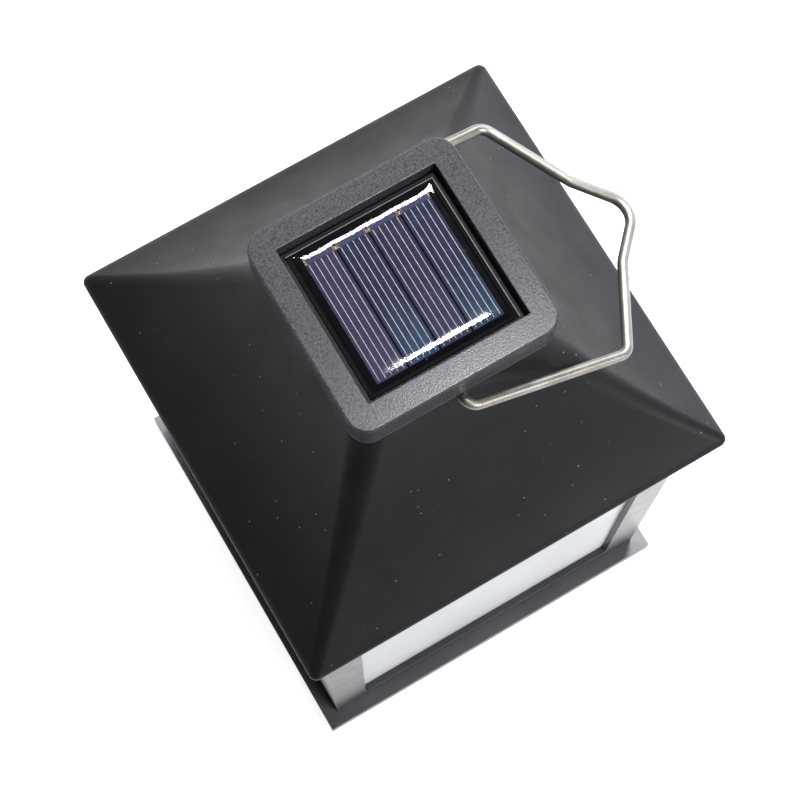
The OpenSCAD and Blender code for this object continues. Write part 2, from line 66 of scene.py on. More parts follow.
# Sizes of the roof, the collar, the handle and the panel that no box shows.
EAVE_LIP = 2 * MM
COLLAR_H = 5.5 * MM
COLLAR_HALF = 28 * MM
COLLAR_WALL = 2 * MM
COLLAR_R = 5 * MM
LEDGE_W = 1 * MM
LEDGE_HALF = COLLAR_HALF + LEDGE_W
LEDGE_Z = COLLAR_TOP - COLLAR_H
EAVE_Z = ROOF_LOW.z + EAVE_LIP
EAVE_R = 2.5 * MM
HIP_R = 8 * MM
INNER_R_LESS = 0.6 * MM
ROOF_WALL = 2 * MM
ROOF_DIP = 3 * MM
ROOF_STEPS = 48
BOSS_MID = 46 * MM
BOSS_R = 3.5 * MM
BOSS_BORE = 1.25 * MM
BOSS_DEEP = 10 * MM
PAD_HALF = 4.5 * MM
PAD_T = 1.7 * MM
PAD_EDGE = 0.1 * MM
WIRE_R = 1.6 * MM
WIRE_TILT = math.radians(22)
PIVOT_Z = LEDGE_Z + COLLAR_H / 2
BEZEL_R = 6 * MM
RIM_BARE = 0.2 * MM
RIM_SHOWN = 1.4 * MM
CELLS = 4

# Faces that meet at less than this angle are shaded as one smooth surface.
SMOOTH_ANGLE = math.radians(32)


# ---------------------------------------------------------------- meshes

def mesh_piece(name, work, body, slot, material, *replaced):
    """A piece made from a bmesh, smooth where its faces nearly line up, riding on a body."""
    bmesh.ops.recalc_face_normals(work, faces=work.faces)
    data = bpy.data.meshes.new(name)
    work.to_mesh(data)
    work.free()
    data.shade_smooth()
    data.set_sharp_from_angle(angle=SMOOTH_ANGLE)
    piece = bpy.data.objects.new(name, data)
    bpy.context.scene.collection.objects.link(piece)
    data.materials.append(material)
    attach(piece, body)
    if replaced:
        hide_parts(*replaced)
    return piece


def square_ring(half, r, z, steps=10):
    """A level square with round corners, as points that go round it."""
    points = []
    for corner in range(4):
        start = math.pi / 2 * corner
        x = math.copysign(half - r, math.cos(start + math.pi / 4))
        y = math.copysign(half - r, math.sin(start + math.pi / 4))
        for i in range(steps + 1):
            a = start + math.pi / 2 * i / steps
            points.append(Vector((x + r * math.cos(a), y + r * math.sin(a), z)))
    return points


def skin_rings(work, rings, closed):
    """Joins rings of points with quads. A closed skin also joins the last ring to the first."""
    rows = [[work.verts.new(p) for p in ring] for ring in rings]
    count = len(rows[0])
    pairs = list(zip(rows, rows[1:] + rows[:1])) if closed else list(zip(rows, rows[1:]))
    for low, high in pairs:
        for k in range(count):
            n = (k + 1) % count
            work.faces.new((low[k], low[n], high[n], high[k]))
    return rows


def slope_z(half, down):
    """Height of the roof's slope at a distance from the axis, for the slope moved down square to itself."""
    run = EAVE_HALF - LEDGE_HALF
    rise = LEDGE_Z - EAVE_Z
    chord = math.hypot(run, rise)
    arc_r = chord * chord / (8 * ROOF_DIP) + ROOF_DIP / 2
    out = arc_r - ROOF_DIP
    centre_x = (EAVE_HALF + LEDGE_HALF) / 2 + out * rise / chord
    centre_z = EAVE_Z + rise / 2 + out * run / chord
    return centre_z - math.sqrt((arc_r + down) ** 2 - (centre_x - half) ** 2)


def hip_radius(half):
    """Corner radius of the roof at a distance from the axis."""
    return EAVE_R + (HIP_R - EAVE_R) * (EAVE_HALF - half) / (EAVE_HALF - LEDGE_HALF)


def add_strip(work, low, high, edge):
    """A flat strip with its upper edges taken off, between two corners."""
    floor = [(low[0], low[1]), (high[0], low[1]), (high[0], high[1]), (low[0], high[1])]
    top = [(low[0] + edge, low[1] + edge), (high[0] - edge, low[1] + edge),
           (high[0] - edge, high[1] - edge), (low[0] + edge, high[1] - edge)]
    rings = [[Vector((x, y, z)) for x, y in outline]
             for outline, z in ((floor, low[2]), (floor, high[2] - edge), (top, high[2]))]
    rows = skin_rings(work, rings, closed=False)
    work.faces.new(list(reversed(rows[0])))
    work.faces.new(rows[-1])


def add_boss(work, x, y):
    """A screw boss under the roof: a round post with a bore open below, its top inside the roof's wall."""
    sides = 24
    edge = 0.2 * MM
    in_wall = 0.9 * ROOF_WALL

    def circle(r, z):
        turns = [math.tau * k / sides for k in range(sides)]
        return [Vector((x + r * math.cos(a), y + r * math.sin(a), z)) for a in turns]

    top = circle(BOSS_R, 0)
    for p in top:
        p.z = slope_z(max(abs(p.x), abs(p.y)), in_wall)
    rings = [
        circle(BOSS_BORE, RING_TOP + BOSS_DEEP),
        circle(BOSS_BORE, RING_TOP),
        circle(BOSS_R - edge, RING_TOP),
        circle(BOSS_R, RING_TOP + edge),
        top,
    ]
    rows = skin_rings(work, rings, closed=False)
    work.faces.new(rows[0])
    work.faces.new(list(reversed(rows[-1])))


def eave_rings():
    """The roof's outside, from the lower edge of its round lip up the slope to the ledge."""
    lip = 0.5 * MM
    corner = 0.15 * MM
    shoulder = 0.2 * MM
    low = EAVE_Z - EAVE_LIP
    rings = [
        square_ring(EAVE_HALF - lip, EAVE_R - lip / 2, low),
        square_ring(EAVE_HALF - corner, EAVE_R, low + corner),
        square_ring(EAVE_HALF, EAVE_R, low + lip),
        square_ring(EAVE_HALF, EAVE_R, EAVE_Z - lip),
        square_ring(EAVE_HALF - shoulder, EAVE_R, EAVE_Z - shoulder / 4),
    ]
    start = EAVE_HALF - 2 * lip
    for i in range(ROOF_STEPS + 1):
        half = start + (LEDGE_HALF - start) * i / ROOF_STEPS
        rings.append(square_ring(half, hip_radius(half), slope_z(half, 0)))
    return rings


def collar_rings():
    """The ledge and the collar, up the outside, over the top and down the inside."""
    edge = 0.3 * MM
    root = 0.5 * MM
    rise = 0.05 * MM
    inside = COLLAR_HALF - COLLAR_WALL
    inside_r = COLLAR_R - COLLAR_WALL
    return [
        square_ring(LEDGE_HALF - edge, HIP_R - LEDGE_W, LEDGE_Z + rise),
        square_ring(COLLAR_HALF + edge, COLLAR_R, LEDGE_Z + 2 * rise),
        square_ring(COLLAR_HALF, COLLAR_R, LEDGE_Z + root),
        square_ring(COLLAR_HALF, COLLAR_R, COLLAR_TOP - edge),
        square_ring(COLLAR_HALF - edge, COLLAR_R, COLLAR_TOP),
        square_ring(inside, inside_r, COLLAR_TOP),
        square_ring(inside, inside_r, LEDGE_Z - ROOF_WALL),
    ]


def inner_rings():
    """The roof's inner side, from under the ledge down to the eave."""
    low_half = EAVE_HALF - ROOF_WALL
    top_half = LEDGE_HALF - LEDGE_W / 2
    rings = []
    for i in range(ROOF_STEPS + 1):
        half = top_half + (low_half - top_half) * i / ROOF_STEPS
        z = min(slope_z(half, ROOF_WALL), LEDGE_Z - ROOF_WALL)
        rings.append(square_ring(half, hip_radius(half) - INNER_R_LESS, z))
    rings.append(square_ring(low_half, EAVE_R - INNER_R_LESS, EAVE_Z - EAVE_LIP))
    return rings


def make_roof(material):
    """The flared roof: one closed shell, with four screw bosses and the collar's two pads inside it."""
    work = bmesh.new()
    skin_rings(work, eave_rings() + collar_rings() + inner_rings(), closed=True)
    for side in (-1, 1):
        add_boss(work, side * BOSS_MID, BOSS_MID)
        add_boss(work, side * BOSS_MID, -BOSS_MID)
        wall_y = side * (COLLAR_HALF - COLLAR_WALL)
        pad_y = wall_y - side * PAD_T
        low = (-PAD_HALF, min(wall_y, pad_y), LEDGE_Z)
        high = (PAD_HALF, max(wall_y, pad_y), COLLAR_TOP)
        add_strip(work, low, high, PAD_EDGE)
    return mesh_piece("roof_shell", work, "lantern", "roof_plastic", material, "roof")


def make_bezel(material):
    """The solar unit's cover: a square ring with a rounded rim, a window and a shelf for the panel."""
    fillet = 0.55 * MM
    fillet_steps = 6
    hold = 0.12 * MM
    foot = 0.25 * MM
    window_r = 0.4 * MM
    edge = 0.2 * MM
    edge_in = edge * 0.3
    shelf_half = 20 * MM
    shelf_t = 1.5 * MM
    wall = 2 * MM
    around = WINDOW_HALF + shelf_t
    rings = [
        square_ring(BEZEL_HALF - foot, BEZEL_R - edge, BEZEL_LOW.z),
        square_ring(BEZEL_HALF, BEZEL_R, BEZEL_LOW.z + foot),
        square_ring(BEZEL_HALF, BEZEL_R, BEZEL_LOW.z + foot + hold),
        square_ring(BEZEL_HALF, BEZEL_R, BEZEL_TOP - fillet - hold),
    ]
    for i in range(fillet_steps + 1):
        a = math.pi / 2 * i / fillet_steps
        inward = fillet * (1 - math.cos(a))
        drop = fillet * (1 - math.sin(a))
        rings.append(square_ring(BEZEL_HALF - inward, BEZEL_R - inward, BEZEL_TOP - drop))
    rings += [
        square_ring(BEZEL_HALF - fillet - hold, BEZEL_R - fillet - hold, BEZEL_TOP),
        square_ring(WINDOW_HALF + edge + hold, window_r + edge + hold, BEZEL_TOP),
        square_ring(WINDOW_HALF + edge, window_r + edge, BEZEL_TOP),
        square_ring(WINDOW_HALF + edge_in, window_r, BEZEL_TOP - edge_in),
        square_ring(WINDOW_HALF, window_r, BEZEL_TOP - edge),
        square_ring(WINDOW_HALF, window_r, BEZEL_TOP - edge - hold),
        square_ring(WINDOW_HALF, window_r, SHELF_Z),
        square_ring(shelf_half, window_r, SHELF_Z),
        square_ring(shelf_half, window_r, SHELF_Z - shelf_t),
        square_ring(around, window_r, SHELF_Z - shelf_t),
        square_ring(around, window_r, BEZEL_TOP - wall),
        square_ring(BEZEL_HALF - wall, BEZEL_R - wall, BEZEL_TOP - wall),
        square_ring(BEZEL_HALF - wall, BEZEL_R - wall, BEZEL_LOW.z),
    ]
    work = bmesh.new()
    skin_rings(work, rings, closed=True)
    return mesh_piece("bezel_shell", work, "solar_unit", "bezel_plastic", material, "bezel_cover")


def bent_path(points, radii, steps=14):
    """A flat path through points, with an arc of the given radius at each inner point."""
    path = [points[0]]
    for i in range(1, len(points) - 1):
        here = points[i]
        back = (points[i - 1] - here).normalized()
        ahead = (points[i + 1] - here).normalized()
        half_angle = back.angle(ahead) / 2
        cut = radii[i] / math.tan(half_angle)
        centre = here + (back + ahead).normalized() * radii[i] / math.sin(half_angle)
        start = here + back * cut - centre
        end = here + ahead * cut - centre
        sweep = start.angle(end)
        for k in range(steps + 1):
            t = k / steps
            turned = start * math.sin((1 - t) * sweep) + end * math.sin(t * sweep)
            path.append(centre + turned / math.sin(sweep))
    return path + [points[-1]]


def handle_outline():
    """The handle laid flat: its corners, with x from the pivot and y from the middle, and their radii."""
    toe_end = 23.6 * MM
    toe_half = 34.6 * MM
    shoulder = Vector((53.5, 39.2, 0)) * MM
    neck = Vector((69.5, 14.2, 0)) * MM
    peak_slope = 1.04
    peak = Vector((neck.x + peak_slope * neck.y, 0, 0))
    near = [Vector((0, toe_end, 0)), Vector((0, toe_half, 0)), shoulder, neck]
    far = [Vector((p.x, -p.y, 0)) for p in reversed(near)]
    near_radii = [0, 4 * MM, 4.5 * MM, 11 * MM]
    return near + [peak] + far, near_radii + [7 * MM] + near_radii[::-1]


def make_handle(material):
    """The wire handle: one swept round wire with its two toes turned in through the collar."""
    sides = 28
    end_taper = 0.3 * MM
    path = bent_path(*handle_outline())
    last = len(path) - 1
    level = Vector((0, 0, 1))
    tilt = Matrix.Translation((0, 0, PIVOT_Z)) @ Matrix.Rotation(WIRE_TILT, 4, "Y")
    rings = []
    for i, p in enumerate(path):
        along = (path[min(i + 1, last)] - path[max(i - 1, 0)]).normalized()
        across = level.cross(along)
        r = WIRE_R - end_taper if i in (0, last) else WIRE_R
        turns = [math.tau * k / sides for k in range(sides)]
        rings.append([tilt @ (p + across * r * math.cos(a) + level * r * math.sin(a)) for a in turns])
    work = bmesh.new()
    rows = skin_rings(work, rings, closed=False)
    work.faces.new(rows[0])
    work.faces.new(list(reversed(rows[-1])))
    return mesh_piece("handle_wire", work, "handle", "stainless_wire", material, "wire_handle")


def make_resin(material):
    """The clear resin over the cells: a low pillow, round near its edges and a little wavy along two."""
    half = BOARD_HALF - RIM_SHOWN
    edge = 0.55 * MM
    rise = 0.7 * MM
    power = 16
    far_ripple = 0.005
    near_ripple = 0.0008
    clear = 0.02 * MM
    count = 64

    def spread(i):
        t = 2 * i / count - 1
        return half * math.sin(t * math.pi / 2)

    def height(x, y):
        ripple = far_ripple if y > 0 else near_ripple
        reach = half * (1 + ripple * (1 + math.cos(math.tau * x / CELL_PITCH)))
        return (1 - abs(x / half) ** power) * (1 - abs(y / reach) ** power)

    work = bmesh.new()
    stops = [spread(i) for i in range(count + 1)]
    rows = [[work.verts.new((x, y, BOARD_TOP + edge + rise * height(x, y))) for x in stops] for y in stops]
    for k in range(count):
        for i in range(count):
            work.faces.new((rows[k][i], rows[k][i + 1], rows[k + 1][i + 1], rows[k + 1][i]))
    rim = rows[0] + [row[-1] for row in rows[1:]] + rows[-1][-2::-1] + [row[0] for row in rows[-2:0:-1]]
    feet = [work.verts.new((v.co.x, v.co.y, BOARD_TOP + clear)) for v in rim]
    for k in range(len(rim)):
        n = (k + 1) % len(rim)
        work.faces.new((rim[k], feet[k], feet[n], rim[n]))
    return mesh_piece("resin_pillow", work, "solar_unit", "clear_resin", material, "resin_dome")


def make_fingers(material):
    """The fine printed lines that collect the current on each cell."""
    lines = 5
    width = 0.12 * MM
    thick = 0.03 * MM
    edge = 0.01 * MM
    short = 0.5 * MM
    work = bmesh.new()
    for number in range(1, CELLS + 1):
        low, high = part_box(f"solar_cell_{number}")
        for i in range(lines):
            x = low.x + (high.x - low.x) * (i + 0.5) / lines
            start = (x - width / 2, low.y + short, high.z)
            end = (x + width / 2, high.y - short, high.z + thick)
            add_strip(work, start, end, edge)
    return mesh_piece("cell_fingers", work, "solar_unit", "copper_ribbon", material)


# ---------------------------------------------------------------- material tools

def add_node(material, kind, inputs=None, **settings):
    """A shader node with its settings, and its inputs as values or other nodes' outputs."""
    made = material.node_tree.nodes.new(kind)
    for name, value in settings.items():
        setattr(made, name, value)
    for name, value in (inputs or {}).items():
        if isinstance(value, bpy.types.NodeSocket):
            material.node_tree.links.new(value, made.inputs[name])
        else:
            made.inputs[name].default_value = value
    return made


def new_material(name, **sockets):
    """A material with values on its Principled shader's own sockets."""
    material = bpy.data.materials.new(name)
    material.use_nodes = True
    shader = material.node_tree.nodes["Principled BSDF"]
    for socket, value in sockets.items():
        shader.inputs[socket.replace("_", " ")].default_value = value
    return material


def connect(material, **outputs):
    """Links node outputs to sockets of the material's Principled shader."""
    shader = material.node_tree.nodes["Principled BSDF"]
    for socket, output in outputs.items():
        material.node_tree.links.new(output, shader.inputs[socket.replace("_", " ")])


def place(material, stretch=(1, 1, 1)):
    """The point on the object, in metres, stretched along its axes."""
    point = add_node(material, "ShaderNodeTexCoord").outputs["Object"]
    return add_node(material, "ShaderNodeMapping", {"Vector": point, "Scale": stretch}).outputs[0]


def noise(material, size, detail=3.0, stretch=(1, 1, 1), rough=0.55):
    """Cloudy noise with spots of about this size in metres."""
    point = place(material, stretch)
    inputs = {"Vector": point, "Scale": 1 / size, "Detail": detail, "Roughness": rough}
    return add_node(material, "ShaderNodeTexNoise", inputs).outputs["Fac"]


def spots(material, size, share):
    """Separate small specks: 1 inside a speck and 0 outside, covering about this share of the cells."""
    inputs = {"Vector": place(material), "Scale": 1 / size}
    cells = add_node(material, "ShaderNodeTexVoronoi", inputs)
    outer = 0.16
    near = limits(material, cells.outputs["Distance"], outer, outer / 2, 0, 1)
    pick = add_node(material, "ShaderNodeSeparateColor", {"Color": cells.outputs["Color"]}).outputs[0]
    chosen = limits(material, pick, share + 0.01, share, 0, 1)
    return combine(material, "MULTIPLY", near, chosen)


def limits(material, value, low, high, new_low, new_high):
    """Maps a value from one range to another, clamped."""
    inputs = {"Value": value, "From Min": low, "From Max": high, "To Min": new_low, "To Max": new_high}
    return add_node(material, "ShaderNodeMapRange", inputs).outputs["Result"]


def uneven(material, cloud, low, high):
    """Spreads noise between two values, such as a smooth and a dull roughness."""
    return limits(material, cloud, 0.3, 0.7, low, high)


def patches(material, cloud, strength=1.0):
    """Turns noise into soft patches: 0 between them and up to the strength inside them."""
    return limits(material, cloud, 0.35, 0.65, 0, strength)


def combine(material, operation, a, b):
    """A math node on two values or outputs."""
    made = add_node(material, "ShaderNodeMath", operation=operation)
    for socket, value in zip(made.inputs, (a, b)):
        if isinstance(value, bpy.types.NodeSocket):
            material.node_tree.links.new(value, socket)
        else:
            socket.default_value = value
    return made.outputs[0]


def tint(material, factor, first, second):
    """Mixes two colours, each a tuple or an output, by a factor."""
    made = add_node(material, "ShaderNodeMix", data_type="RGBA")
    sockets = {0: factor, 6: first, 7: second}
    for index, value in sockets.items():
        if isinstance(value, bpy.types.NodeSocket):
            material.node_tree.links.new(value, made.inputs[index])
        elif index == 0:
            made.inputs[index].default_value = value
        else:
            made.inputs[index].default_value = (*value, 1)
    return made.outputs[2]


def bump(material, height, depth, under=None):
    """A bump of the given depth in metres, over another bump if one is given."""
    inputs = {"Height": height, "Distance": depth, "Strength": 1.0}
    if under is not None:
        inputs["Normal"] = under
    return add_node(material, "ShaderNodeBump", inputs).outputs[0]


def worn_edges(material, width):
    """1 on a sharp outer edge, falling to 0 on flat faces."""
    soft = add_node(material, "ShaderNodeBevel", {"Radius": width}, samples=4).outputs[0]
    true = add_node(material, "ShaderNodeNewGeometry").outputs["Normal"]
    made = add_node(material, "ShaderNodeVectorMath", operation="DOT_PRODUCT")
    material.node_tree.links.new(soft, made.inputs[0])
    material.node_tree.links.new(true, made.inputs[1])
    flat = 0.99
    sharp = 0.86
    return limits(material, made.outputs["Value"], flat, sharp, 0, 1)


def moulded(name, dark, light, cloud, rough, grain, depth, edge=None, wear=0.5 * MM, **sockets):
    """Moulded plastic or the like: cloudy shade, uneven gloss, fine grain and, if asked, paler worn edges."""
    material = new_material(name, **sockets)
    colour = tint(material, patches(material, noise(material, cloud)), dark, light)
    if edge is not None:
        broken = limits(material, noise(material, 3 * MM), 0.4, 0.6, 0.25, 1)
        scuffed = combine(material, "MULTIPLY", worn_edges(material, wear), broken)
        colour = tint(material, scuffed, colour, edge)
    gloss = uneven(material, noise(material, cloud / 3), *rough)
    fine = bump(material, noise(material, grain, 2.0), depth)
    connect(material, Base_Color=colour, Roughness=gloss, Normal=fine)
    return material


# ---------------------------------------------------------------- materials

def roof_plastic():
    """Matt black plastic with faint smears and a few pale dust specks."""
    material = new_material("roof_plastic", Specular_IOR_Level=0.27, Specular_Tint=(0.92, 0.94, 1.0, 1))
    smear = limits(material, noise(material, 26 * MM, 4.0, (1, 1, 0.6)), 0.35, 0.7, 0, 1)
    colour = tint(material, smear, (0.0042, 0.004, 0.0046), (0.0075, 0.0073, 0.0083))
    grain = patches(material, noise(material, 0.7 * MM, 3.0), 0.6)
    colour = tint(material, grain, colour, (0.002, 0.002, 0.0025))
    dust = combine(material, "MULTIPLY", spots(material, 1.8 * MM, 0.05), 0.6)
    colour = tint(material, dust, colour, (0.25, 0.24, 0.23))
    edge = combine(material, "MULTIPLY", worn_edges(material, 0.6 * MM), 0.5)
    colour = tint(material, edge, colour, (0.035, 0.035, 0.04))
    gloss = uneven(material, noise(material, 14 * MM, 5.0), 0.44, 0.54)
    fine = bump(material, noise(material, 0.6 * MM, 2.0), 0.03 * MM)
    waves = bump(material, noise(material, 22 * MM, 1.0), 0.12 * MM, fine)
    connect(material, Base_Color=colour, Roughness=gloss, Normal=waves)
    return material


def bezel_plastic():
    """Dark grey plastic with a fine, faintly sparkling grain."""
    material = new_material("bezel_plastic", Specular_IOR_Level=0.11, Specular_Tint=(0.94, 0.96, 1.0, 1))
    inputs = {"Vector": place(material), "Scale": 1 / (0.5 * MM)}
    cells = add_node(material, "ShaderNodeTexVoronoi", inputs)
    grain = limits(material, cells.outputs["Distance"], 0.1, 0.75, 0, 1)
    cloud = uneven(material, noise(material, 0.7 * MM), 0.4, 1)
    shade = combine(material, "MULTIPLY", grain, cloud)
    colour = tint(material, shade, (0.058, 0.059, 0.066), (0.018, 0.018, 0.022))
    edge = combine(material, "MULTIPLY", worn_edges(material, 0.25 * MM), 0.4)
    colour = tint(material, edge, colour, (0.1, 0.1, 0.105))
    gloss = uneven(material, noise(material, 0.6 * MM, 2.0), 0.17, 0.25)
    depth = 0.006 * MM
    fine = bump(material, noise(material, 0.3 * MM, 1.0), depth)
    connect(material, Base_Color=colour, Roughness=gloss, Normal=bump(material, grain, depth, fine))
    return material


def frosted_panel():
    """Milky plastic that lets light through, a little uneven in thickness."""
    material = new_material("frosted_panel", Subsurface_Weight=0.25, Subsurface_Scale=2 * MM)
    cloud = patches(material, noise(material, 40 * MM, 2.0))
    colour = tint(material, cloud, (0.47, 0.485, 0.505), (0.525, 0.54, 0.56))
    gloss = uneven(material, noise(material, 10 * MM), 0.42, 0.55)
    fine = bump(material, noise(material, 0.35 * MM, 2.0), 0.012 * MM)
    connect(material, Base_Color=colour, Roughness=gloss, Normal=fine)
    return material


def steel_wire():
    """Satin stainless wire with fine draw lines and slightly browner patches."""
    material = new_material("steel_wire", Metallic=1.0)
    patch = limits(material, noise(material, 9 * MM, 3.0), 0.4, 0.7, 0, 1)
    colour = tint(material, patch, (0.35, 0.338, 0.312), (0.27, 0.25, 0.218))
    gloss = uneven(material, noise(material, 2.5 * MM, 3.0), 0.4, 0.48)
    lines = bump(material, noise(material, 0.3 * MM, 2.0, (0.12, 0.12, 1)), 0.008 * MM)
    connect(material, Base_Color=colour, Roughness=gloss, Normal=lines)
    return material


def screw_steel():
    """Zinc-plated screw steel with rubbed and duller spots."""
    material = new_material("screw_steel", Metallic=1.0)
    patch = patches(material, noise(material, 1.5 * MM))
    colour = tint(material, patch, (0.5, 0.51, 0.53), (0.66, 0.66, 0.67))
    gloss = uneven(material, noise(material, 0.8 * MM), 0.22, 0.42)
    fine = bump(material, noise(material, 0.2 * MM), 0.01 * MM)
    connect(material, Base_Color=colour, Roughness=gloss, Normal=fine)
    return material


def panel_laminate():
    """The panel's board: black film, with its pale cut edge bare on the +X and +Y sides."""
    material = new_material("panel_laminate", Specular_IOR_Level=0.0)
    split = add_node(material, "ShaderNodeSeparateXYZ", {"Vector": place(material)})
    outer = combine(material, "MAXIMUM", split.outputs[0], split.outputs[1])
    bare_from = BOARD_HALF - RIM_BARE
    blur = 0.02 * MM
    bare = limits(material, outer, bare_from - blur, bare_from, 0, 1)
    film = tint(material, noise(material, 3 * MM), (0.004, 0.004, 0.005), (0.009, 0.008, 0.008))
    cut = tint(material, noise(material, 1 * MM), (0.14, 0.145, 0.16), (0.27, 0.275, 0.3))
    gloss = uneven(material, noise(material, 1.2 * MM), 0.25, 0.4)
    fine = bump(material, noise(material, 0.3 * MM), 0.01 * MM)
    connect(material, Base_Color=tint(material, bare, film, cut), Roughness=gloss, Normal=fine)
    return material


def silicon_cell(name, violet, teal):
    """A dark blue silicon cell, greener towards its -Y end, with crystal patches and fine speckle."""
    material = new_material(name, Specular_IOR_Level=0.0)
    inputs = {"Vector": place(material), "Scale": 1 / (1.6 * MM)}
    crystals = add_node(material, "ShaderNodeTexVoronoi", inputs).outputs["Color"]
    patch = add_node(material, "ShaderNodeSeparateColor", {"Color": crystals}).outputs[0]
    along = add_node(material, "ShaderNodeSeparateXYZ", {"Vector": place(material)}).outputs[1]
    turns_green = -2 * MM
    end = limits(material, along, turns_green, CELL_LOW.y, 0, 1)
    base = tint(material, end, violet, teal)
    bright = limits(material, patch, 0, 1, 0.0, 0.2)
    base = tint(material, bright, base, (0.1, 0.105, 0.19))
    mottle = patches(material, noise(material, 0.6 * MM, 4.0, rough=0.75), 0.35)
    base = tint(material, mottle, base, (0.02, 0.02, 0.035))
    speckle = combine(material, "MULTIPLY", spots(material, 0.8 * MM, 0.2), 0.4)
    base = tint(material, speckle, base, (0.4, 0.41, 0.46))
    gloss = uneven(material, noise(material, 0.5 * MM), 0.3, 0.5)
    fine = bump(material, noise(material, 0.25 * MM, 4.0), 0.012 * MM)
    connect(material, Base_Color=base, Roughness=gloss, Normal=fine)
    return material


def printed_silver():
    """Cream silver paste, slightly broken along each line."""
    material = new_material("printed_silver", Specular_IOR_Level=0.1)
    breaks = limits(material, noise(material, 0.7 * MM, 3.0), 0.3, 0.6, 0, 1)
    colour = tint(material, breaks, (0.6, 0.57, 0.5), (0.95, 0.91, 0.8))
    gloss = uneven(material, noise(material, 0.5 * MM), 0.4, 0.6)
    fine = bump(material, noise(material, 0.12 * MM), 0.01 * MM)
    connect(material, Base_Color=colour, Roughness=gloss, Normal=fine)
    return material


def metal_strip(name, dull, bright, rough, **sockets):
    """Plated metal strip with rubbed patches."""
    material = new_material(name, **sockets)
    patch = patches(material, noise(material, 1.4 * MM, 4.0))
    gloss = uneven(material, noise(material, 0.7 * MM), *rough)
    fine = bump(material, noise(material, 0.25 * MM), 0.015 * MM)
    connect(material, Base_Color=tint(material, patch, dull, bright), Roughness=gloss, Normal=fine)
    return material


def tinned_ribbon():
    """Ribbons that look as dark as the cells they are soldered to, with bare copper by each gap."""
    material = new_material("copper_ribbon", Specular_IOR_Level=0.05)
    first_gap = CELL_LOW.x - (CELL_PITCH - CELL_W) / 2
    across = add_node(material, "ShaderNodeSeparateXYZ", {"Vector": place(material)}).outputs[0]
    from_first = combine(material, "SUBTRACT", across, first_gap)
    from_gap = combine(material, "PINGPONG", from_first, CELL_PITCH / 2)
    solder_from = 1.1 * MM
    copper_to = 0.5 * MM
    bare = limits(material, from_gap, solder_from, copper_to, 0, 1)
    broken = limits(material, noise(material, 0.5 * MM, 4.0, rough=0.7), 0.45, 0.6, 0, 1)
    copper = tint(material, broken, (0.07, 0.04, 0.03), (0.55, 0.42, 0.27))
    solder = tint(material, noise(material, 0.8 * MM), (0.03, 0.03, 0.07), (0.06, 0.06, 0.13))
    gloss = uneven(material, noise(material, 0.7 * MM), 0.4, 0.6)
    fine = bump(material, noise(material, 0.25 * MM), 0.015 * MM)
    connect(material, Base_Color=tint(material, bare, solder, copper), Roughness=gloss, Normal=fine)
    return material


def clear_resin():
    """Clear gloss resin: see-through, with a mirror sheen, fine scratches and a little dust in it."""
    material = new_material("clear_resin")
    tree = material.node_tree
    tree.nodes.remove(tree.nodes["Principled BSDF"])
    scratch = noise(material, 1.1 * MM, 4.0, (1, 0.12, 1))
    skin = bump(material, scratch, 0.002 * MM)
    waves = bump(material, noise(material, 8 * MM, 1.0), 0.02 * MM, skin)
    gloss = uneven(material, noise(material, 3 * MM, 4.0), 0.02, 0.07)
    clear = add_node(material, "ShaderNodeBsdfTransparent", {"Color": (0.93, 0.94, 0.95, 1)})
    mirror = add_node(material, "ShaderNodeBsdfGlossy",
                      {"Color": (1, 1, 1, 1), "Roughness": gloss, "Normal": waves})
    share = add_node(material, "ShaderNodeFresnel", {"IOR": 1.5}).outputs[0]
    mixed = add_node(material, "ShaderNodeMixShader", {0: share, 1: clear.outputs[0], 2: mirror.outputs[0]})
    dust = combine(material, "MULTIPLY", spots(material, 1.2 * MM, 0.1), 0.18)
    haze = add_node(material, "ShaderNodeBsdfDiffuse", {"Color": (0.5, 0.5, 0.52, 1)})
    dusty = add_node(material, "ShaderNodeMixShader", {0: dust, 1: mixed.outputs[0], 2: haze.outputs[0]})
    tree.links.new(dusty.outputs[0], tree.nodes["Material Output"].inputs["Surface"])
    return material


def cell_colours():
    """The four cells' own tints, from the -X side to the +X side."""
    return [
        ((0.046, 0.043, 0.088), (0.062, 0.058, 0.116)),
        ((0.027, 0.03, 0.068), (0.038, 0.078, 0.145)),
        ((0.034, 0.031, 0.066), (0.046, 0.05, 0.105)),
        ((0.026, 0.03, 0.07), (0.032, 0.072, 0.12)),
    ]


def paint(nodes, material):
    """Gives CAD nodes one material."""
    for name in nodes:
        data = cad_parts[name].data
        if not data.materials:
            data.materials.append(material)
        for i in range(len(data.materials)):
            data.materials[i] = material


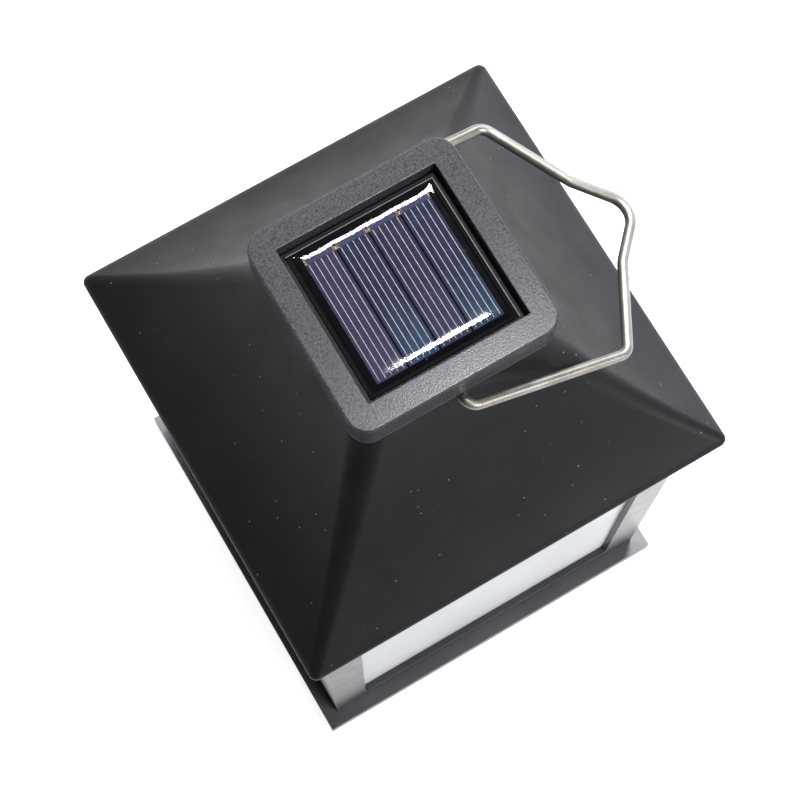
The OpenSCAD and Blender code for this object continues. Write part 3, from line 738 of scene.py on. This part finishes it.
def paint_housings():
    """The moulded pieces of the body and of the solar unit, and the sealant."""
    base = moulded("base_plastic", (0.11, 0.113, 0.121), (0.135, 0.138, 0.147), 18 * MM, (0.42, 0.52),
                   0.5 * MM, 0.01 * MM, edge=(0.14, 0.14, 0.15))
    body = moulded("frame_plastic", (0.049, 0.05, 0.055), (0.061, 0.063, 0.069), 20 * MM, (0.28, 0.34),
                   0.6 * MM, 0.0005 * MM, edge=(0.12, 0.12, 0.128), Specular_IOR_Level=0.38)
    tray = moulded("tray_plastic", (0.02, 0.02, 0.022), (0.032, 0.032, 0.034), 8 * MM, (0.34, 0.46),
                   0.5 * MM, 0.01 * MM, edge=(0.07, 0.07, 0.075))
    knob = moulded("knob_plastic", (0.02, 0.02, 0.02), (0.035, 0.035, 0.035), 1.5 * MM, (0.4, 0.55),
                   0.3 * MM, 0.015 * MM, edge=(0.1, 0.1, 0.1), wear=0.2 * MM)
    bead = moulded("sealant", (0.0015, 0.0015, 0.0015), (0.004, 0.004, 0.004), 2 * MM, (0.35, 0.5),
                   0.8 * MM, 0.03 * MM, Specular_IOR_Level=0.08)
    paint(["base_plate"], base)
    paint(["body_frame", "top_ring"], body)
    paint(["housing_tray", "battery_door"], tray)
    paint(["switch_knob"], knob)
    paint(["panel_sealant"], bead)
    paint([f"panel_{side}" for side in ("front", "right", "back", "left")], frosted_panel())


def paint_electronics():
    """The circuit board with what sits on it, the battery and the leads."""
    green = moulded("circuit_green", (0.02, 0.13, 0.055), (0.03, 0.2, 0.08), 2.5 * MM, (0.2, 0.35),
                    0.4 * MM, 0.01 * MM, Coat_Weight=0.4)
    epoxy = moulded("black_epoxy", (0.012, 0.012, 0.012), (0.022, 0.022, 0.022), 1.5 * MM, (0.45, 0.6),
                    0.2 * MM, 0.01 * MM)
    ferrite = moulded("ferrite", (0.04, 0.04, 0.045), (0.07, 0.07, 0.075), 1.2 * MM, (0.5, 0.7),
                      0.2 * MM, 0.02 * MM)
    lens = moulded("led_epoxy", (0.75, 0.72, 0.5), (0.85, 0.83, 0.66), 1.5 * MM, (0.1, 0.18),
                   0.5 * MM, 0.003 * MM, Subsurface_Weight=0.3, Subsurface_Scale=1 * MM)
    wrap = moulded("battery_wrap", (0.03, 0.2, 0.09), (0.05, 0.27, 0.12), 6 * MM, (0.18, 0.3),
                   1 * MM, 0.01 * MM, Coat_Weight=0.5)
    lead = moulded("lead_red", (0.35, 0.02, 0.015), (0.5, 0.035, 0.03), 2 * MM, (0.35, 0.5),
                   0.5 * MM, 0.01 * MM)
    paint(["circuit_board"], green)
    paint(["driver_chip"], epoxy)
    paint(["inductor"], ferrite)
    paint(["led_lamp"], lens)
    paint(["battery_cell"], wrap)
    paint(["panel_leads", "battery_leads"], lead)


def paint_metal():
    """The screws, the battery contacts and the switch's case."""
    nickel = metal_strip("contact_nickel", (0.5, 0.49, 0.45), (0.68, 0.67, 0.62), (0.2, 0.35), Metallic=1.0)
    plated = metal_strip("switch_metal", (0.5, 0.5, 0.51), (0.7, 0.7, 0.71), (0.25, 0.4), Metallic=1.0)
    paint([f"{held}_screws" for held in ("base", "ring", "roof", "bezel", "board")], screw_steel())
    paint(["contact_spring", "contact_plate"], nickel)
    paint(["switch_body"], plated)


def paint_panel():
    """The solar panel's board, its ribbons and its four cells, each with tints of its own."""
    paint(["panel_board"], panel_laminate())
    paint(["cell_ribbons"], tinned_ribbon())
    for number, (violet, teal) in enumerate(cell_colours(), 1):
        paint([f"solar_cell_{number}"], silicon_cell(f"silicon_cell_{number}", violet, teal))


# ---------------------------------------------------------------- stage

def make_floor():
    """A pale floor that glows: white round the lantern, where its glow lights the lantern from below and
    washes out its shadow, fading to soft grey further out.
    """
    half = 6
    middle = (0.3, 0.1, 0)
    white_r = 0.54
    grey_r = 1.3
    work = bmesh.new()
    bmesh.ops.create_grid(work, x_segments=1, y_segments=1, size=half)
    data = bpy.data.meshes.new("floor")
    work.to_mesh(data)
    work.free()
    floor = bpy.data.objects.new("floor", data)
    bpy.context.scene.collection.objects.link(floor)
    material = new_material("floor", Roughness=0.9)
    point = place(material)
    away = add_node(material, "ShaderNodeVectorMath", {0: point, 1: middle}, operation="DISTANCE")
    near = limits(material, away.outputs["Value"], white_r, grey_r, 1, 0)
    # Painted light: the floor glows, most brightly round the lantern, so the lantern's shadow on it barely
    # shows.
    glow = limits(material, near, 0, 1, 0.25, 0.9)
    shade = tint(material, near, (0.3, 0.3, 0.305), (0.5, 0.5, 0.505))
    connect(material, Emission_Strength=glow, Base_Color=shade)
    shader = material.node_tree.nodes["Principled BSDF"]
    shader.inputs["Emission Color"].default_value = (1, 1, 1, 1)
    data.materials.append(material)


def area_light(name, direction, distance, size, power, colour=(1, 1, 1)):
    """A soft rectangular lamp that shines on the solar panel from a direction."""
    lamp = bpy.data.lights.new(name, "AREA")
    lamp.shape = "RECTANGLE"
    lamp.size, lamp.size_y = size
    lamp.energy = power
    lamp.color = colour
    thing = bpy.data.objects.new(name, lamp)
    bpy.context.scene.collection.objects.link(thing)
    toward = Vector(direction).normalized()
    across = (Vector((1, 0, 0)) - toward * toward.x).normalized()
    turn = Matrix((across, toward.cross(across), toward)).transposed()
    thing.location = Vector((0, 0, BEZEL_TOP)) + toward * distance
    thing.rotation_euler = turn.to_euler()


def make_lights():
    """A small key high over the roof, a long softbox beyond it, a front fill and a low lamp at the side."""
    area_light("key", (0.19, 0.12, 1), 1.3, (0.095, 0.13), 17, (1, 0.99, 0.98))
    area_light("softbox", (0.38, 0.57, 0.78), 1.2, (1.0, 0.28), 25, (0.96, 0.98, 1))
    area_light("front", (0.45, -0.9, 0.6), 1.4, (0.9, 0.5), 17, (0.97, 0.985, 1))
    area_light("side", (1, 0.3, 0.12), 1.3, (1.0, 0.4), 6, (0.88, 0.94, 1))


def make_world():
    """Dim even surroundings, so the side away from the lamps stays dark."""
    world = bpy.data.worlds.new("studio")
    bpy.context.scene.world = world
    world.use_nodes = True
    world.node_tree.nodes["Background"].inputs["Color"].default_value = (0.035, 0.035, 0.04, 1)


def make_camera():
    """The camera, high over the lantern's -X, -Y corner."""
    azimuth = math.radians(-30.36)
    elevation = math.radians(75.67)
    distance = 543.82 * MM
    aim = Vector((-16.56, -22.94, 161)) * MM
    back = Vector((math.sin(azimuth) * math.cos(elevation),
                   -math.cos(azimuth) * math.cos(elevation),
                   math.sin(elevation)))
    data = bpy.data.cameras.new("camera")
    data.lens = 83.93
    data.sensor_width = 36
    data.shift_x = 0.0101
    data.shift_y = 0.064
    data.clip_start = 0.02
    data.clip_end = 20
    camera = bpy.data.objects.new("camera", data)
    bpy.context.scene.collection.objects.link(camera)
    camera.location = aim + back * distance
    camera.rotation_euler = (-back).to_track_quat("-Z", "Y").to_euler()
    bpy.context.scene.camera = camera


paint_housings()
paint_electronics()
paint_metal()
paint_panel()
make_roof(roof_plastic())
make_bezel(bezel_plastic())
make_handle(steel_wire())
make_resin(clear_resin())
make_fingers(printed_silver())
make_floor()
make_lights()
make_world()
make_camera()
bpy.context.scene.view_settings.view_transform = "Standard"
